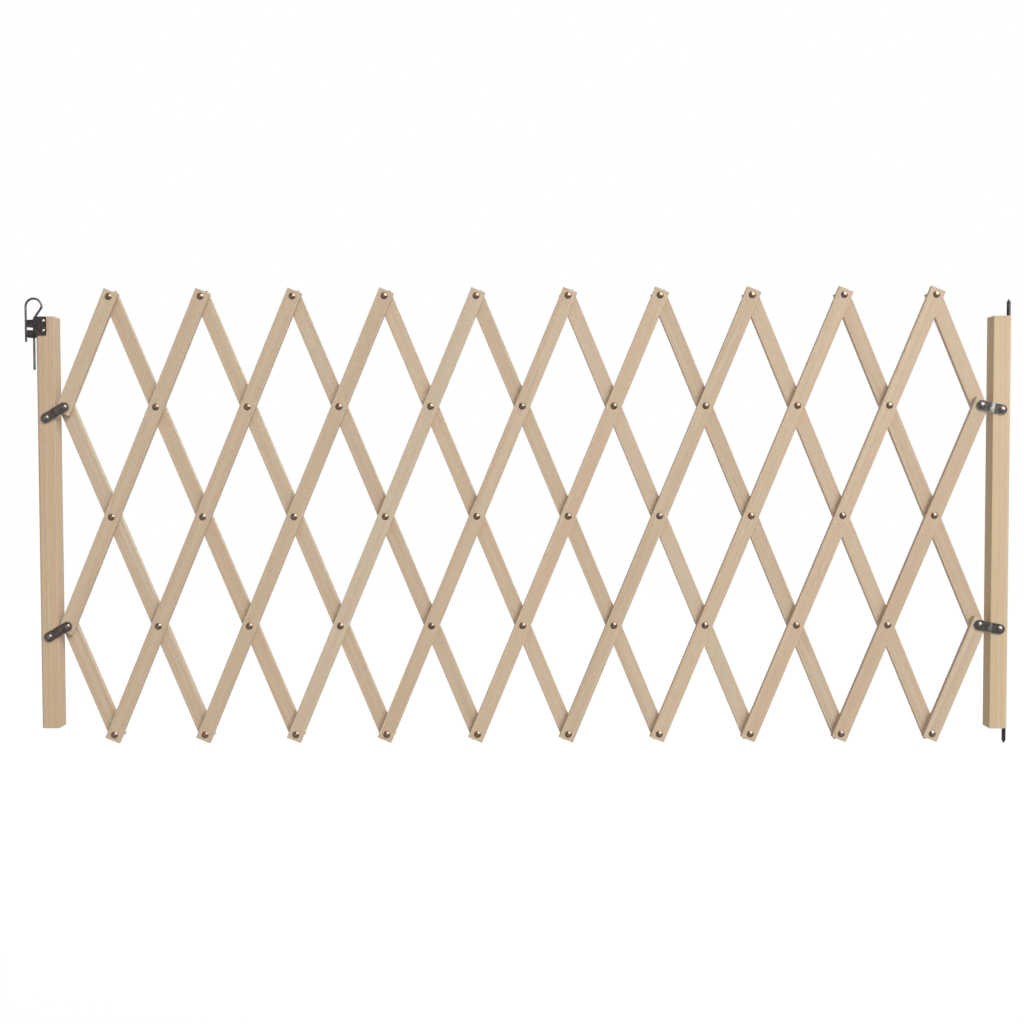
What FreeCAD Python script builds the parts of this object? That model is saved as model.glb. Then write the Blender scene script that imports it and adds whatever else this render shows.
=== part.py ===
import FreeCAD, Part
import math
import os

import Sketcher
from FreeCAD import Placement, Rotation, Vector

# Expandable safety gate: a riveted lattice of wooden slats between two square posts.
# Millimetres and degrees. +Z is up, +X runs along the gate from the latch post to the hinge post,
# and the front faces -Y. The origin is on the hinge axis, at the foot of the hinge post.

# Counts of the lattice: half diamonds along the gate, and pivots up one full slat less one.
COLUMNS = 20
ROWS = 4

SIZES = {
    # Slats
    "pivot_pitch": 185,
    "rest_angle": 22.6,
    "slat_width": 23.5,
    "slat_thickness": 10,
    "front_end_margin": 9.5,
    "back_end_margin": 6.5,
    "slat_edge_radius": 1,
    "layer_gap": 0.3,
    # Rivets
    "rivet_head_diameter": 10.6,
    "rivet_head_height": 2.8,
    "rivet_shank_diameter": 4,
    "rivet_tail_diameter": 7.6,
    "rivet_tail_height": 1.6,
    "rivet_roll_radius": 1.7,
    "rivet_dimple_diameter": 3.2,
    "rivet_dimple_depth": 1.1,
    "rivet_clearance": 0.05,
    "rivet_seat_gap": 0.1,
    # Straps between the lattice and the posts
    "strap_link": 33.5,
    "strap_width": 15.5,
    "strap_thickness": 2,
    "strap_joggle": 2.5,
    "strap_bend_start": 16,
    "strap_bend_length": 5,
    "strap_bend_radius": 2,
    "strap_gap": 0.2,
    "hinge_strap_tilt": 12,
    "latch_strap_tilt": 29.5,
    # Posts
    "post_width": 28.5,
    "post_depth": 28.5,
    "post_length": 643,
    "post_outer_radius": 5,
    "post_inner_radius": 1.5,
    "post_end_chamfer": 0.8,
    "hinge_post_hole_height": 156.2,
    "latch_post_hole_height": 144,
    "post_rivet_reach": 18,
    # Pivot pins of the hinge post
    "pin_diameter": 6,
    "pin_tang_diameter": 4.6,
    "pin_tang_length": 30,
    "pin_point_length": 5,
    "pin_clearance": 0.05,
    "pin_side_setback": 4,
    "pin_front_setback": 4.5,
    "lower_pin_reach": 24,
    "upper_pin_reach": 26.6,
    # Latch bracket: a leaf on the post with two rolled knuckles beside it
    "leaf_width": 18.4,
    "leaf_height": 29,
    "leaf_thickness": 1.5,
    "leaf_overhang": 1.6,
    "leaf_drop": 0.5,
    "leaf_corner_radius": 2,
    "knuckle_diameter": 14,
    "knuckle_height": 11,
    "knuckle_spacing": 5,
    "knuckle_drop": 4.8,
    "knuckle_side_offset": 8,
    "knuckle_lip_angle": 20,
    # Latch screws
    "screw_head_diameter": 5.6,
    "screw_head_height": 1.7,
    "screw_shank_diameter": 3,
    "screw_reach": 14,
    "screw_spacing": 15.2,
    "screw_side_setback": 12.6,
    "screw_drop": 7,
    "screw_clearance": 0.05,
    "screw_recess_span": 3.2,
    "screw_recess_width": 0.8,
    "screw_recess_depth": 1.1,
    # Latch pin: one bent spring wire
    "wire_diameter": 3.5,
    "wire_clearance": 0.15,
    "wire_end_radius": 1,
    "bow_radius": 12.4,
    "bow_height": 21,
    "shoulder_radius": 3.5,
    "knee_radius": 4,
    "knee_height": 1,
    "long_leg_reach": 77,
    "short_leg_reach": 33.8,
}

doc = FreeCAD.newDocument("ExpandableGate")
sheet = doc.addObject("Spreadsheet::Sheet", "Sizes")
for line, (alias, number) in enumerate(SIZES.items(), start=1):
    sheet.set(f"A{line}", alias)
    sheet.set(f"B{line}", str(number))
    sheet.setAlias(f"B{line}", alias)
doc.recompute()

# Every finished sub-part, in the order it is made.
parts = []


def value(expression):
    """Give the number that an expression on the sheet stands for."""
    return float(sheet.evalExpression(str(expression)))


# Places that more than one sub-part shares, as expressions on the sheet.
COLUMN_STEP = "(Sizes.pivot_pitch * sin(Sizes.rest_angle * 1 deg))"
ROW_STEP = "(Sizes.pivot_pitch * cos(Sizes.rest_angle * 1 deg))"
POST_HOLE_SPACING = f"({ROWS - 2} * {ROW_STEP})"
HINGE_POST_X = "(Sizes.pin_side_setback - Sizes.post_width / 2)"
POST_FRONT_Y = "(-Sizes.pin_front_setback)"
SLAT_FRONT_Y = f"({POST_FRONT_Y} - Sizes.strap_joggle)"
LATTICE_DEPTH = "(2 * Sizes.slat_thickness + Sizes.layer_gap)"
TAIL_SEAT = f"({LATTICE_DEPTH} + Sizes.rivet_seat_gap)"
RIVET_HOLE = "(Sizes.rivet_shank_diameter + 2 * Sizes.rivet_clearance)"
STRAP_FRONT = "(Sizes.strap_gap + Sizes.strap_thickness)"


def column_x(column):
    """Place a pivot column along the gate, counted from the latch end."""
    reach = "Sizes.strap_link * cos(Sizes.hinge_strap_tilt * 1 deg)"
    return f"({HINGE_POST_X} - {reach} - {COLUMNS - column} * {COLUMN_STEP})"


def row_z(row):
    """Place a pivot row, counted from the foot of the lattice."""
    rise = "Sizes.strap_link * sin(Sizes.hinge_strap_tilt * 1 deg)"
    return f"(Sizes.hinge_post_hole_height + {rise} + ({row - 1}) * {ROW_STEP})"


LATCH_POST_X = f"({column_x(0)} - Sizes.strap_link * cos(Sizes.latch_strap_tilt * 1 deg))"
LATCH_HOLE_Z = f"({row_z(1)} - Sizes.strap_link * sin(Sizes.latch_strap_tilt * 1 deg))"
LATCH_POST_Z = f"({LATCH_HOLE_Z} - Sizes.latch_post_hole_height)"
LATCH_POST_SIDE_X = f"({LATCH_POST_X} - Sizes.post_width / 2)"
LEAF_TOP_Z = f"({LATCH_POST_Z} + Sizes.post_length - Sizes.leaf_drop)"
KNUCKLE_TOP_Z = f"({LEAF_TOP_Z} - Sizes.knuckle_drop)"
KNUCKLE_X = f"({LATCH_POST_SIDE_X} - Sizes.knuckle_side_offset)"
KNUCKLE_Y = f"({POST_FRONT_Y} - Sizes.leaf_thickness + Sizes.knuckle_diameter / 2)"
KNUCKLE_BORE_RADIUS = "(Sizes.knuckle_diameter / 2 - Sizes.leaf_thickness)"
LONG_LEG_OFFSET = f"({KNUCKLE_BORE_RADIUS} - Sizes.wire_diameter / 2 - Sizes.wire_clearance)"
SHORT_LEG_OFFSET = "(Sizes.knuckle_diameter / 2 + Sizes.wire_clearance + Sizes.wire_diameter / 2)"
LEG_SPACING = f"({LONG_LEG_OFFSET} + {SHORT_LEG_OFFSET})"


# Modelling helpers

ACROSS = Vector(1, 0, 0)
DEPTH = Vector(0, 1, 0)
UP = Vector(0, 0, 1)
# How near two places are taken as one, and how near a line's direction is taken as parallel.
TOUCH = 1e-3
PARALLEL = 1 - 1e-6


def new_body(label):
    """Start a sub-part as a body with its own label."""
    body = doc.addObject("PartDesign::Body", label)
    body.Label = label
    parts.append(body)
    return body


def origin_feature(body, role):
    """Find one of a body's own origin planes or axes."""
    return next(f for f in body.Origin.OriginFeatures if f.Role == role)


def new_sketch(body, name, plane, height=None):
    """Start a sketch on one of the body's origin planes, raised by an expression."""
    sketch = body.newObject("Sketcher::SketchObject", name)
    sketch.AttachmentSupport = (origin_feature(body, plane), [""])
    sketch.MapMode = "FlatFace"
    if height is not None:
        sketch.setExpression("AttachmentOffset.Base.z", height)
    return sketch


def hold(sketch, kind, geometry, point, expression):
    """Bind one coordinate of a sketch point to an expression, or lay it on the axis for 0."""
    if expression == "0":
        axis = -2 if kind == "DistanceX" else -1
        sketch.addConstraint(Sketcher.Constraint("PointOnObject", geometry, point, axis))
        return
    constraint = Sketcher.Constraint(kind, -1, 1, geometry, point, value(expression))
    index = sketch.addConstraint(constraint)
    sketch.setExpression(f"Constraints[{index}]", expression)


def bind(sketch, constraint, expression):
    """Add a sketch constraint whose number comes from an expression."""
    index = sketch.addConstraint(constraint)
    sketch.setExpression(f"Constraints[{index}]", expression)


def outline(sketch, corners):
    """Draw a closed outline through corners given as expressions.

    A corner is (x, y) where a line arrives, or (x, y, radius, side) where an arc arrives from the
    corner before it. The side is 1 where that arc turns left on its way, and -1 where it turns
    right, and the arc is always less than a half circle.
    """
    ends = [Vector(value(corner[0]), value(corner[1]), 0) for corner in corners]
    first = sketch.GeometryCount
    for number, corner in enumerate(corners):
        start = ends[number - 1]
        end = ends[number]
        if len(corner) == 2:
            sketch.addGeometry(Part.LineSegment(start, end))
            continue
        radius = value(corner[2])
        chord = end - start
        half = chord.Length / 2
        left = Vector(-chord.y, chord.x, 0).normalize()
        sagitta = radius - math.sqrt(radius * radius - half * half)
        middle = start + chord / 2 - left * (sagitta * corner[3])
        sketch.addGeometry(Part.Arc(start, middle, end))
    total = len(corners)
    arc_turn = {number: corner[3] for number, corner in enumerate(corners) if len(corner) > 2}

    def tail_of(number):
        return 1 if arc_turn.get(number) == -1 else 2

    def head_of(number):
        return 2 if arc_turn.get(number) == -1 else 1

    for number, corner in enumerate(corners):
        following = (number + 1) % total
        sketch.addConstraint(
            Sketcher.Constraint(
                "Coincident", first + number, tail_of(number), first + following, head_of(following)
            )
        )
        hold(sketch, "DistanceX", first + number, tail_of(number), corner[0])
        hold(sketch, "DistanceY", first + number, tail_of(number), corner[1])
        if number in arc_turn:
            bind(sketch, Sketcher.Constraint("Radius", first + number, value(corner[2])), corner[2])


def circle(sketch, x, y, diameter):
    """Draw a circle whose centre and diameter are expressions."""
    centre = Vector(value(x), value(y), 0)
    number = sketch.addGeometry(Part.Circle(centre, UP, value(diameter) / 2))
    hold(sketch, "DistanceX", number, 3, x)
    hold(sketch, "DistanceY", number, 3, y)
    bind(sketch, Sketcher.Constraint("Diameter", number, value(diameter)), diameter)


def pad(body, sketch, length, backwards=False, symmetric=False):
    """Raise a sketch to a solid."""
    feature = body.newObject("PartDesign::Pad", f"{sketch.Name}_pad")
    feature.Profile = sketch
    feature.setExpression("Length", length)
    feature.Reversed = backwards
    feature.SideType = "Symmetric" if symmetric else "One side"
    doc.recompute()
    return feature


def pocket(body, sketch, length=None, backwards=False):
    """Cut a sketch into the body, to a depth or right through both ways."""
    before = body.Shape.Volume
    feature = body.newObject("PartDesign::Pocket", f"{sketch.Name}_pocket")
    feature.Profile = sketch
    if length is None:
        feature.SideType = "Symmetric"
        feature.Type = "ThroughAll"
    else:
        feature.setExpression("Length", length)
    feature.Reversed = backwards
    doc.recompute()
    if not feature.Shape.Volume < before:
        raise RuntimeError(f"{feature.Name} of {body.Label} cut nothing")
    return feature


def revolve(body, sketch):
    """Turn a sketch once round its own vertical axis."""
    feature = body.newObject("PartDesign::Revolution", f"{sketch.Name}_turned")
    feature.Profile = sketch
    feature.ReferenceAxis = (sketch, ["V_Axis"])
    feature.Angle = 360
    doc.recompute()
    return feature


def repeat_up(body, feature, length, count):
    """Repeat a feature evenly along the body's own Z axis."""
    if count < 2:
        return feature
    pattern = body.newObject("PartDesign::LinearPattern", f"{feature.Name}_row")
    pattern.Originals = [feature]
    pattern.Direction = (origin_feature(body, "Z_Axis"), [""])
    pattern.setExpression("Length", length)
    pattern.Occurrences = count
    body.Tip = pattern
    doc.recompute()
    return pattern


def round_edges(body, base, wanted, radius, kind="PartDesign::Fillet"):
    """Fillet, or chamfer, the edges of a feature that a test picks out."""
    names = [f"Edge{n}" for n, edge in enumerate(base.Shape.Edges, start=1) if wanted(edge)]
    feature = body.newObject(kind, f"{base.Name}_eased")
    feature.Base = (base, names)
    feature.setExpression("Size" if kind.endswith("Chamfer") else "Radius", radius)
    doc.recompute()
    return feature


def place(body, x, y, z, axis=None, angle=None):
    """Set a body's place, and its turn about an axis, from expressions."""
    if axis is not None:
        body.Placement = Placement(Vector(), Rotation(axis, value(angle)))
        body.setExpression("Placement.Rotation.Angle", angle)
    for name, expression in (("x", x), ("y", y), ("z", z)):
        body.setExpression(f"Placement.Base.{name}", expression)


def runs_along(edge, direction):
    """Say whether an edge is a straight line along a direction."""
    if not isinstance(edge.Curve, Part.Line):
        return False
    return abs(edge.tangentAt(edge.FirstParameter).dot(direction)) > PARALLEL


# Slats


def make_slat(label, column, row, steps, front):
    """Make one slat from its lowest pivot, with a rivet hole at every pivot."""
    body = new_body(label)
    face = new_sketch(body, "face", "XZ_Plane")
    side = "Sizes.slat_width / 2"
    margin = "Sizes.front_end_margin" if front else "Sizes.back_end_margin"
    foot = f"-{margin}"
    head = f"{steps} * Sizes.pivot_pitch + {margin}"
    outline(face, [(f"-{side}", foot), (side, foot), (side, head), (f"-{side}", head)])
    board = pad(body, face, "Sizes.slat_thickness", backwards=True)
    round_edges(body, board, lambda edge: runs_along(edge, UP), "Sizes.slat_edge_radius")
    drilled = new_sketch(body, "pivot_hole", "XZ_Plane")
    circle(drilled, "0", "0", RIVET_HOLE)
    hole = pocket(body, drilled)
    repeat_up(body, hole, f"{steps} * Sizes.pivot_pitch", steps + 1)
    lean = "Sizes.rest_angle" if front else "-Sizes.rest_angle"
    layer = "0" if front else "Sizes.slat_thickness + Sizes.layer_gap"
    place(body, column_x(column), f"{SLAT_FRONT_Y} + {layer}", row_z(row), DEPTH, lean)


# Rivets, screws and pins

DOME = "(({0} / 2)^2 + {1}^2) / (2 * {1})"
RIVET_HEAD = ("Sizes.rivet_head_diameter", "Sizes.rivet_head_height")
RIVET_SHANK = "Sizes.rivet_shank_diameter"
RIVET_TAIL = ("Sizes.rivet_tail_diameter", "Sizes.rivet_tail_height")
SCREW_HEAD = ("Sizes.screw_head_diameter", "Sizes.screw_head_height")


def head_corners(head, seat):
    """Give the corners of a domed head whose flat side sits at a depth."""
    diameter, height = head
    dome = DOME.format(diameter, height)
    return [("0", f"{seat} - {height}"), (f"{diameter} / 2", seat, dome, 1)]


def tail_corners(tail, seat):
    """Give the corners of a rivet tail behind a depth, rolled outwards about the dimple in its end."""
    diameter, height = tail
    dimple = "Sizes.rivet_dimple_diameter / 2"
    floor = f"{seat} + {height} - Sizes.rivet_dimple_depth"
    return [
        (f"{diameter} / 2", seat),
        (dimple, f"{seat} + {height}", "Sizes.rivet_roll_radius", 1),
        (dimple, floor),
        ("0", floor),
    ]


def make_rivets(label, head_seat, place_at, count=1, spacing="Sizes.pivot_pitch"):
    """Make a row of rivets through both layers of slats, whose heads sit at a depth."""
    body = new_body(label)
    profile = new_sketch(body, "profile", "XY_Plane")
    radius = f"{RIVET_SHANK} / 2"
    shank = [(radius, head_seat), (radius, TAIL_SEAT)]
    outline(profile, head_corners(RIVET_HEAD, head_seat) + shank + tail_corners(RIVET_TAIL, TAIL_SEAT))
    rivet = revolve(body, profile)
    repeat_up(body, rivet, f"{count - 1} * {spacing}", count)
    place(body, *place_at)


def make_studs(label, head, shank, seat, end, place_at, count=1, spacing="0"):
    """Make a row of fasteners with a plain shank, and a domed head unless head is None."""
    body = new_body(label)
    profile = new_sketch(body, "profile", "XY_Plane")
    front = head_corners(head, seat) if head else [("0", seat)]
    outline(profile, front + [(f"{shank} / 2", seat), (f"{shank} / 2", end), ("0", end)])
    stud = revolve(body, profile)
    repeat_up(body, stud, f"{count - 1} * {spacing}", count)
    place(body, *place_at)
    return body


def cut_screw_recesses(body):
    """Cut the driver's cross into the heads of the two latch screws."""
    span = "Sizes.screw_recess_span / 2"
    arm = "Sizes.screw_recess_width / 2"
    cross = new_sketch(body, "recess", "XZ_Plane", "Sizes.leaf_thickness + Sizes.screw_head_height")
    outline(
        cross,
        [
            (arm, span),
            (f"-{arm}", span),
            (f"-{arm}", arm),
            (f"-{span}", arm),
            (f"-{span}", f"-{arm}"),
            (f"-{arm}", f"-{arm}"),
            (f"-{arm}", f"-{span}"),
            (arm, f"-{span}"),
            (arm, f"-{arm}"),
            (span, f"-{arm}"),
            (span, arm),
            (arm, arm),
        ],
    )
    recess = pocket(body, cross, "Sizes.screw_recess_depth")
    repeat_up(body, recess, "Sizes.screw_spacing", 2)


def make_pivot_pin(label, reach, z, turn):
    """Make a pointed pivot pin, drawn pointing down, with a tang that is driven into the post."""
    body = new_body(label)
    profile = new_sketch(body, "profile", "XZ_Plane")
    radius = "Sizes.pin_diameter / 2"
    tang = "Sizes.pin_tang_diameter / 2"
    outline(
        profile,
        [
            ("0", f"-{reach}"),
            (radius, f"Sizes.pin_point_length - {reach}"),
            (radius, "0"),
            (tang, "0"),
            (tang, "Sizes.pin_tang_length"),
            ("0", "Sizes.pin_tang_length"),
        ],
    )
    revolve(body, profile)
    place(body, "0", "0", z, ACROSS, turn)


# Posts


def make_post(label, outer, hole_height):
    """Make a post from its foot, with its front at y = 0 and its outer side at outer, 1 or -1."""
    body = new_body(label)
    section = new_sketch(body, "section", "XY_Plane")
    half = "Sizes.post_width / 2"
    depth = "Sizes.post_depth"
    outline(section, [(f"-{half}", "0"), (half, "0"), (half, depth), (f"-{half}", depth)])
    bar = pad(body, section, "Sizes.post_length")
    rounded = round_edges(
        body,
        bar,
        lambda edge: runs_along(edge, UP) and edge.CenterOfMass.x * outer > 0,
        "Sizes.post_outer_radius",
    )
    eased = round_edges(
        body,
        rounded,
        lambda edge: runs_along(edge, UP) and edge.CenterOfMass.x * outer < TOUCH - value(half),
        "Sizes.post_inner_radius",
    )
    length = value("Sizes.post_length")
    round_edges(
        body,
        eased,
        lambda edge: edge.BoundBox.ZLength < length / 2,
        "Sizes.post_end_chamfer",
        kind="PartDesign::Chamfer",
    )
    drilled = new_sketch(body, "strap_hole", "XZ_Plane")
    circle(drilled, "0", hole_height, RIVET_HOLE)
    hole = pocket(body, drilled, "Sizes.post_rivet_reach + Sizes.rivet_clearance")
    repeat_up(body, hole, POST_HOLE_SPACING, 2)
    return body


def drill_pin_holes(body):
    """Drill the hinge post's two ends for the tangs of its pivot pins."""
    across = "Sizes.post_width / 2 - Sizes.pin_side_setback"
    back = "Sizes.pin_front_setback"
    width = "Sizes.pin_tang_diameter + 2 * Sizes.pin_clearance"
    depth = "Sizes.pin_tang_length + Sizes.pin_clearance"
    for name, height, upwards in (("foot_hole", None, True), ("head_hole", "Sizes.post_length", False)):
        drilled = new_sketch(body, name, "XY_Plane", height)
        circle(drilled, across, back, width)
        pocket(body, drilled, depth, backwards=upwards)


def drill_screw_holes(body):
    """Drill the latch post's front for the two latch screws."""
    drilled = new_sketch(body, "screw_hole", "XZ_Plane")
    across = "Sizes.screw_side_setback - Sizes.post_width / 2"
    lower = "Sizes.post_length - Sizes.screw_drop - Sizes.screw_spacing"
    circle(drilled, across, lower, "Sizes.screw_shank_diameter + 2 * Sizes.screw_clearance")
    hole = pocket(body, drilled, "Sizes.screw_reach + Sizes.screw_clearance")
    repeat_up(body, hole, "Sizes.screw_spacing", 2)


# Straps


def make_strap(label, column, row, turn):
    """Make one joggled strap from its lattice pivot, turned about that pivot."""
    body = new_body(label)
    radius = "Sizes.strap_width / 2"
    back = "-Sizes.strap_gap"
    front = f"-{STRAP_FRONT}"
    near = "Sizes.strap_bend_start"
    far = "(Sizes.strap_bend_start + Sizes.strap_bend_length)"
    tip = f"Sizes.strap_link + {radius}"
    edge_view = new_sketch(body, "edge_view", "XY_Plane")
    outline(
        edge_view,
        [
            (f"-{radius}", front),
            (near, front),
            (far, f"Sizes.strap_joggle {front}"),
            (tip, f"Sizes.strap_joggle {front}"),
            (tip, f"Sizes.strap_joggle {back}"),
            (far, f"Sizes.strap_joggle {back}"),
            (near, back),
            (f"-{radius}", back),
        ],
    )
    strip = pad(body, edge_view, "Sizes.strap_width", symmetric=True)
    bends = (value(near), value(far))
    round_edges(
        body,
        strip,
        lambda edge: runs_along(edge, UP) and any(abs(edge.CenterOfMass.x - x) < TOUCH for x in bends),
        "Sizes.strap_bend_radius",
    )
    trimmed = new_sketch(body, "round_ends", "XZ_Plane")
    margin = "Sizes.strap_width"
    outline(
        trimmed,
        [
            (f"-{margin}", f"-{margin}"),
            (f"Sizes.strap_link + {margin}", f"-{margin}"),
            (f"Sizes.strap_link + {margin}", margin),
            (f"-{margin}", margin),
        ],
    )
    outline(
        trimmed,
        [
            ("Sizes.strap_link", f"-{radius}"),
            (tip, "0", radius, 1),
            ("Sizes.strap_link", radius, radius, 1),
            ("0", radius),
            (f"-{radius}", "0", radius, 1),
            ("0", f"-{radius}", radius, 1),
        ],
    )
    pocket(body, trimmed)
    drilled = new_sketch(body, "rivet_holes", "XZ_Plane")
    circle(drilled, "0", "0", RIVET_HOLE)
    circle(drilled, "Sizes.strap_link", "0", RIVET_HOLE)
    pocket(body, drilled)
    place(body, column_x(column), SLAT_FRONT_Y, row_z(row), DEPTH, turn)


# Latch


def make_latch_bracket():
    """Make the latch bracket about its knuckle axis, with z = 0 at the upper knuckle's top."""
    body = new_body("latch_bracket")
    outer = "Sizes.knuckle_diameter / 2"
    inner = KNUCKLE_BORE_RADIUS
    leaf_left = "(Sizes.knuckle_side_offset - Sizes.leaf_overhang)"
    leaf_right = f"({leaf_left} + Sizes.leaf_width)"
    leaf_top = "Sizes.knuckle_drop"
    leaf_foot = "Sizes.knuckle_drop - Sizes.leaf_height"
    leaf_face = new_sketch(body, "leaf_face", "XZ_Plane", outer)
    outline(
        leaf_face,
        [(leaf_left, leaf_foot), (leaf_right, leaf_foot), (leaf_right, leaf_top), (leaf_left, leaf_top)],
    )
    leaf = pad(body, leaf_face, "Sizes.leaf_thickness", backwards=True)
    round_edges(
        body,
        leaf,
        lambda edge: runs_along(edge, DEPTH) and edge.CenterOfMass.x > value(leaf_right) - TOUCH,
        "Sizes.leaf_corner_radius",
    )
    knuckle_foot = "(-2 * Sizes.knuckle_height - Sizes.knuckle_spacing)"
    lip_across = "cos(Sizes.knuckle_lip_angle * 1 deg)"
    lip_forward = "sin(Sizes.knuckle_lip_angle * 1 deg)"
    strip_end = f"({leaf_left} + Sizes.leaf_thickness)"
    roll = new_sketch(body, "roll", "XY_Plane", knuckle_foot)
    outline(
        roll,
        [
            ("0", f"-{outer}"),
            (f"-{outer}", "0", outer, -1),
            ("0", outer, outer, -1),
            (f"{outer} * {lip_across}", f"-{outer} * {lip_forward}", outer, -1),
            (f"{inner} * {lip_across}", f"-{inner} * {lip_forward}"),
            ("0", inner, inner, 1),
            (f"-{inner}", "0", inner, 1),
            ("0", f"-{inner}", inner, 1),
            (strip_end, f"-{inner}"),
            (strip_end, f"-{outer}"),
        ],
    )
    pad(body, roll, f"-{knuckle_foot}")
    mouth = new_sketch(body, "mouth", "XZ_Plane")
    mouth_foot = "-Sizes.knuckle_height - Sizes.knuckle_spacing"
    outline(
        mouth,
        [
            ("-Sizes.knuckle_diameter", mouth_foot),
            (leaf_left, mouth_foot),
            (leaf_left, "-Sizes.knuckle_height"),
            ("-Sizes.knuckle_diameter", "-Sizes.knuckle_height"),
        ],
    )
    pocket(body, mouth)
    drilled = new_sketch(body, "screw_hole", "XZ_Plane")
    across = "Sizes.knuckle_side_offset + Sizes.screw_side_setback"
    lower = "Sizes.knuckle_drop + Sizes.leaf_drop - Sizes.screw_drop - Sizes.screw_spacing"
    circle(drilled, across, lower, "Sizes.screw_shank_diameter + 2 * Sizes.screw_clearance")
    hole = pocket(body, drilled)
    repeat_up(body, hole, "Sizes.screw_spacing", 2)
    place(body, KNUCKLE_X, KNUCKLE_Y, KNUCKLE_TOP_Z)


def make_latch_pin():
    """Make the spring-wire pin about its long leg, with z = 0 at the upper knuckle's top.

    The long leg comes up through the knuckles, bends at the knee towards the post, bends back at
    the shoulder into the round bow, and goes down again as the short leg outside the knuckles.
    """
    body = new_body("latch_pin")
    bow = value("Sizes.bow_radius")
    shoulder = value("Sizes.shoulder_radius")
    knee = value("Sizes.knee_radius")
    knee_z = value("Sizes.knee_height")
    bow_z = value("Sizes.bow_height")
    bow_x = bow - value(LEG_SPACING)
    # The lean of the straight between knee and shoulder that touches both bends.
    bends = knee + shoulder
    across = bow_x + bow - bends
    rise = bow_z - knee_z
    lean = math.acos(-bends / math.hypot(across, rise)) - math.atan2(rise, across)

    def at(x, z):
        return Vector(x, z, 0)

    def on_arc(centre, radius, angle):
        return centre + at(radius * math.cos(angle), radius * math.sin(angle))

    foot = at(0, -value("Sizes.long_leg_reach"))
    knee_centre = at(knee, knee_z)
    shoulder_centre = at(bow_x + bow - shoulder, bow_z)
    bow_centre = at(bow_x, bow_z)
    knee_start = at(0, knee_z)
    knee_end = on_arc(knee_centre, knee, math.pi - lean)
    shoulder_start = on_arc(shoulder_centre, shoulder, -lean)
    shoulder_end = on_arc(shoulder_centre, shoulder, 0)
    bow_end = on_arc(bow_centre, bow, math.pi)
    tip = at(bow_end.x, -value("Sizes.short_leg_reach"))

    path = new_sketch(body, "path", "XZ_Plane")
    path.addGeometry(Part.LineSegment(foot, knee_start))
    path.addGeometry(Part.Arc(knee_start, on_arc(knee_centre, knee, math.pi - lean / 2), knee_end))
    path.addGeometry(Part.LineSegment(knee_end, shoulder_start))
    path.addGeometry(
        Part.Arc(shoulder_start, on_arc(shoulder_centre, shoulder, -lean / 2), shoulder_end)
    )
    path.addGeometry(Part.Arc(shoulder_end, on_arc(bow_centre, bow, math.pi / 2), bow_end))
    path.addGeometry(Part.LineSegment(bow_end, tip))
    long_leg, knee_arc, straight, shoulder_arc, bow_arc, short_leg = range(6)
    # The knee is drawn clockwise, so its first point is the end that meets the straight.
    joins = (
        (long_leg, 2, knee_arc, 2),
        (knee_arc, 1, straight, 1),
        (straight, 2, shoulder_arc, 1),
        (shoulder_arc, 2, bow_arc, 1),
        (bow_arc, 2, short_leg, 1),
    )
    for join in joins:
        path.addConstraint(Sketcher.Constraint("Tangent", *join))
    path.addConstraint(Sketcher.Constraint("Vertical", long_leg))
    path.addConstraint(Sketcher.Constraint("Vertical", short_leg))
    path.addConstraint(Sketcher.Constraint("Horizontal", bow_arc, 1, bow_arc, 3))
    hold(path, "DistanceX", long_leg, 1, "0")
    hold(path, "DistanceY", long_leg, 1, "-Sizes.long_leg_reach")
    hold(path, "DistanceY", long_leg, 2, "Sizes.knee_height")
    hold(path, "DistanceY", bow_arc, 3, "Sizes.bow_height")
    hold(path, "DistanceX", short_leg, 2, f"-{LEG_SPACING}")
    hold(path, "DistanceY", short_leg, 2, "-Sizes.short_leg_reach")
    for arc, radius in ((knee_arc, "knee"), (shoulder_arc, "shoulder"), (bow_arc, "bow")):
        expression = f"Sizes.{radius}_radius"
        bind(path, Sketcher.Constraint("Radius", arc, value(expression)), expression)
    section = new_sketch(body, "section", "XY_Plane", "-Sizes.long_leg_reach")
    circle(section, "0", "0", "Sizes.wire_diameter")
    wire = body.newObject("PartDesign::AdditivePipe", "wire")
    wire.Profile = section
    wire.Spine = (path, [f"Edge{n + 1}" for n in range(path.GeometryCount)])
    doc.recompute()
    heights = (-value("Sizes.long_leg_reach"), -value("Sizes.short_leg_reach"))
    round_edges(
        body,
        wire,
        lambda edge: any(
            abs(edge.BoundBox.ZMin - height) + abs(edge.BoundBox.ZMax - height) < TOUCH
            for height in heights
        ),
        "Sizes.wire_end_radius",
    )
    place(body, f"{KNUCKLE_X} + {LONG_LEG_OFFSET}", KNUCKLE_Y, KNUCKLE_TOP_Z)


# The gate

UPPER_ROW = ROWS - 1
LOWER_ROW = 1
OVER_STRAP = f"-({STRAP_FRONT} + Sizes.rivet_seat_gap)"


def lattice_place(column, row):
    """Give the place of a fastener on a pivot of the lattice, in line with the front slats."""
    return (column_x(column), SLAT_FRONT_Y, row_z(row), DEPTH, "Sizes.rest_angle")


def front_slats():
    """Give the first pivot and the step count of every slat of the front layer."""
    for first in range(1 - ROWS, COLUMNS, 2):
        row = max(0, -first)
        yield first + row, row, min(ROWS, COLUMNS - first) - row


def back_slats():
    """Give the first pivot and the step count of every slat of the back layer."""
    for total in range(1, COLUMNS + ROWS, 2):
        row = max(0, total - COLUMNS)
        yield total - row, row, min(ROWS, total) - row


def has_strap(column, row):
    """Say whether a strap shares the rivet of a pivot."""
    return column in (0, COLUMNS) and row in (LOWER_ROW, UPPER_ROW)


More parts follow.
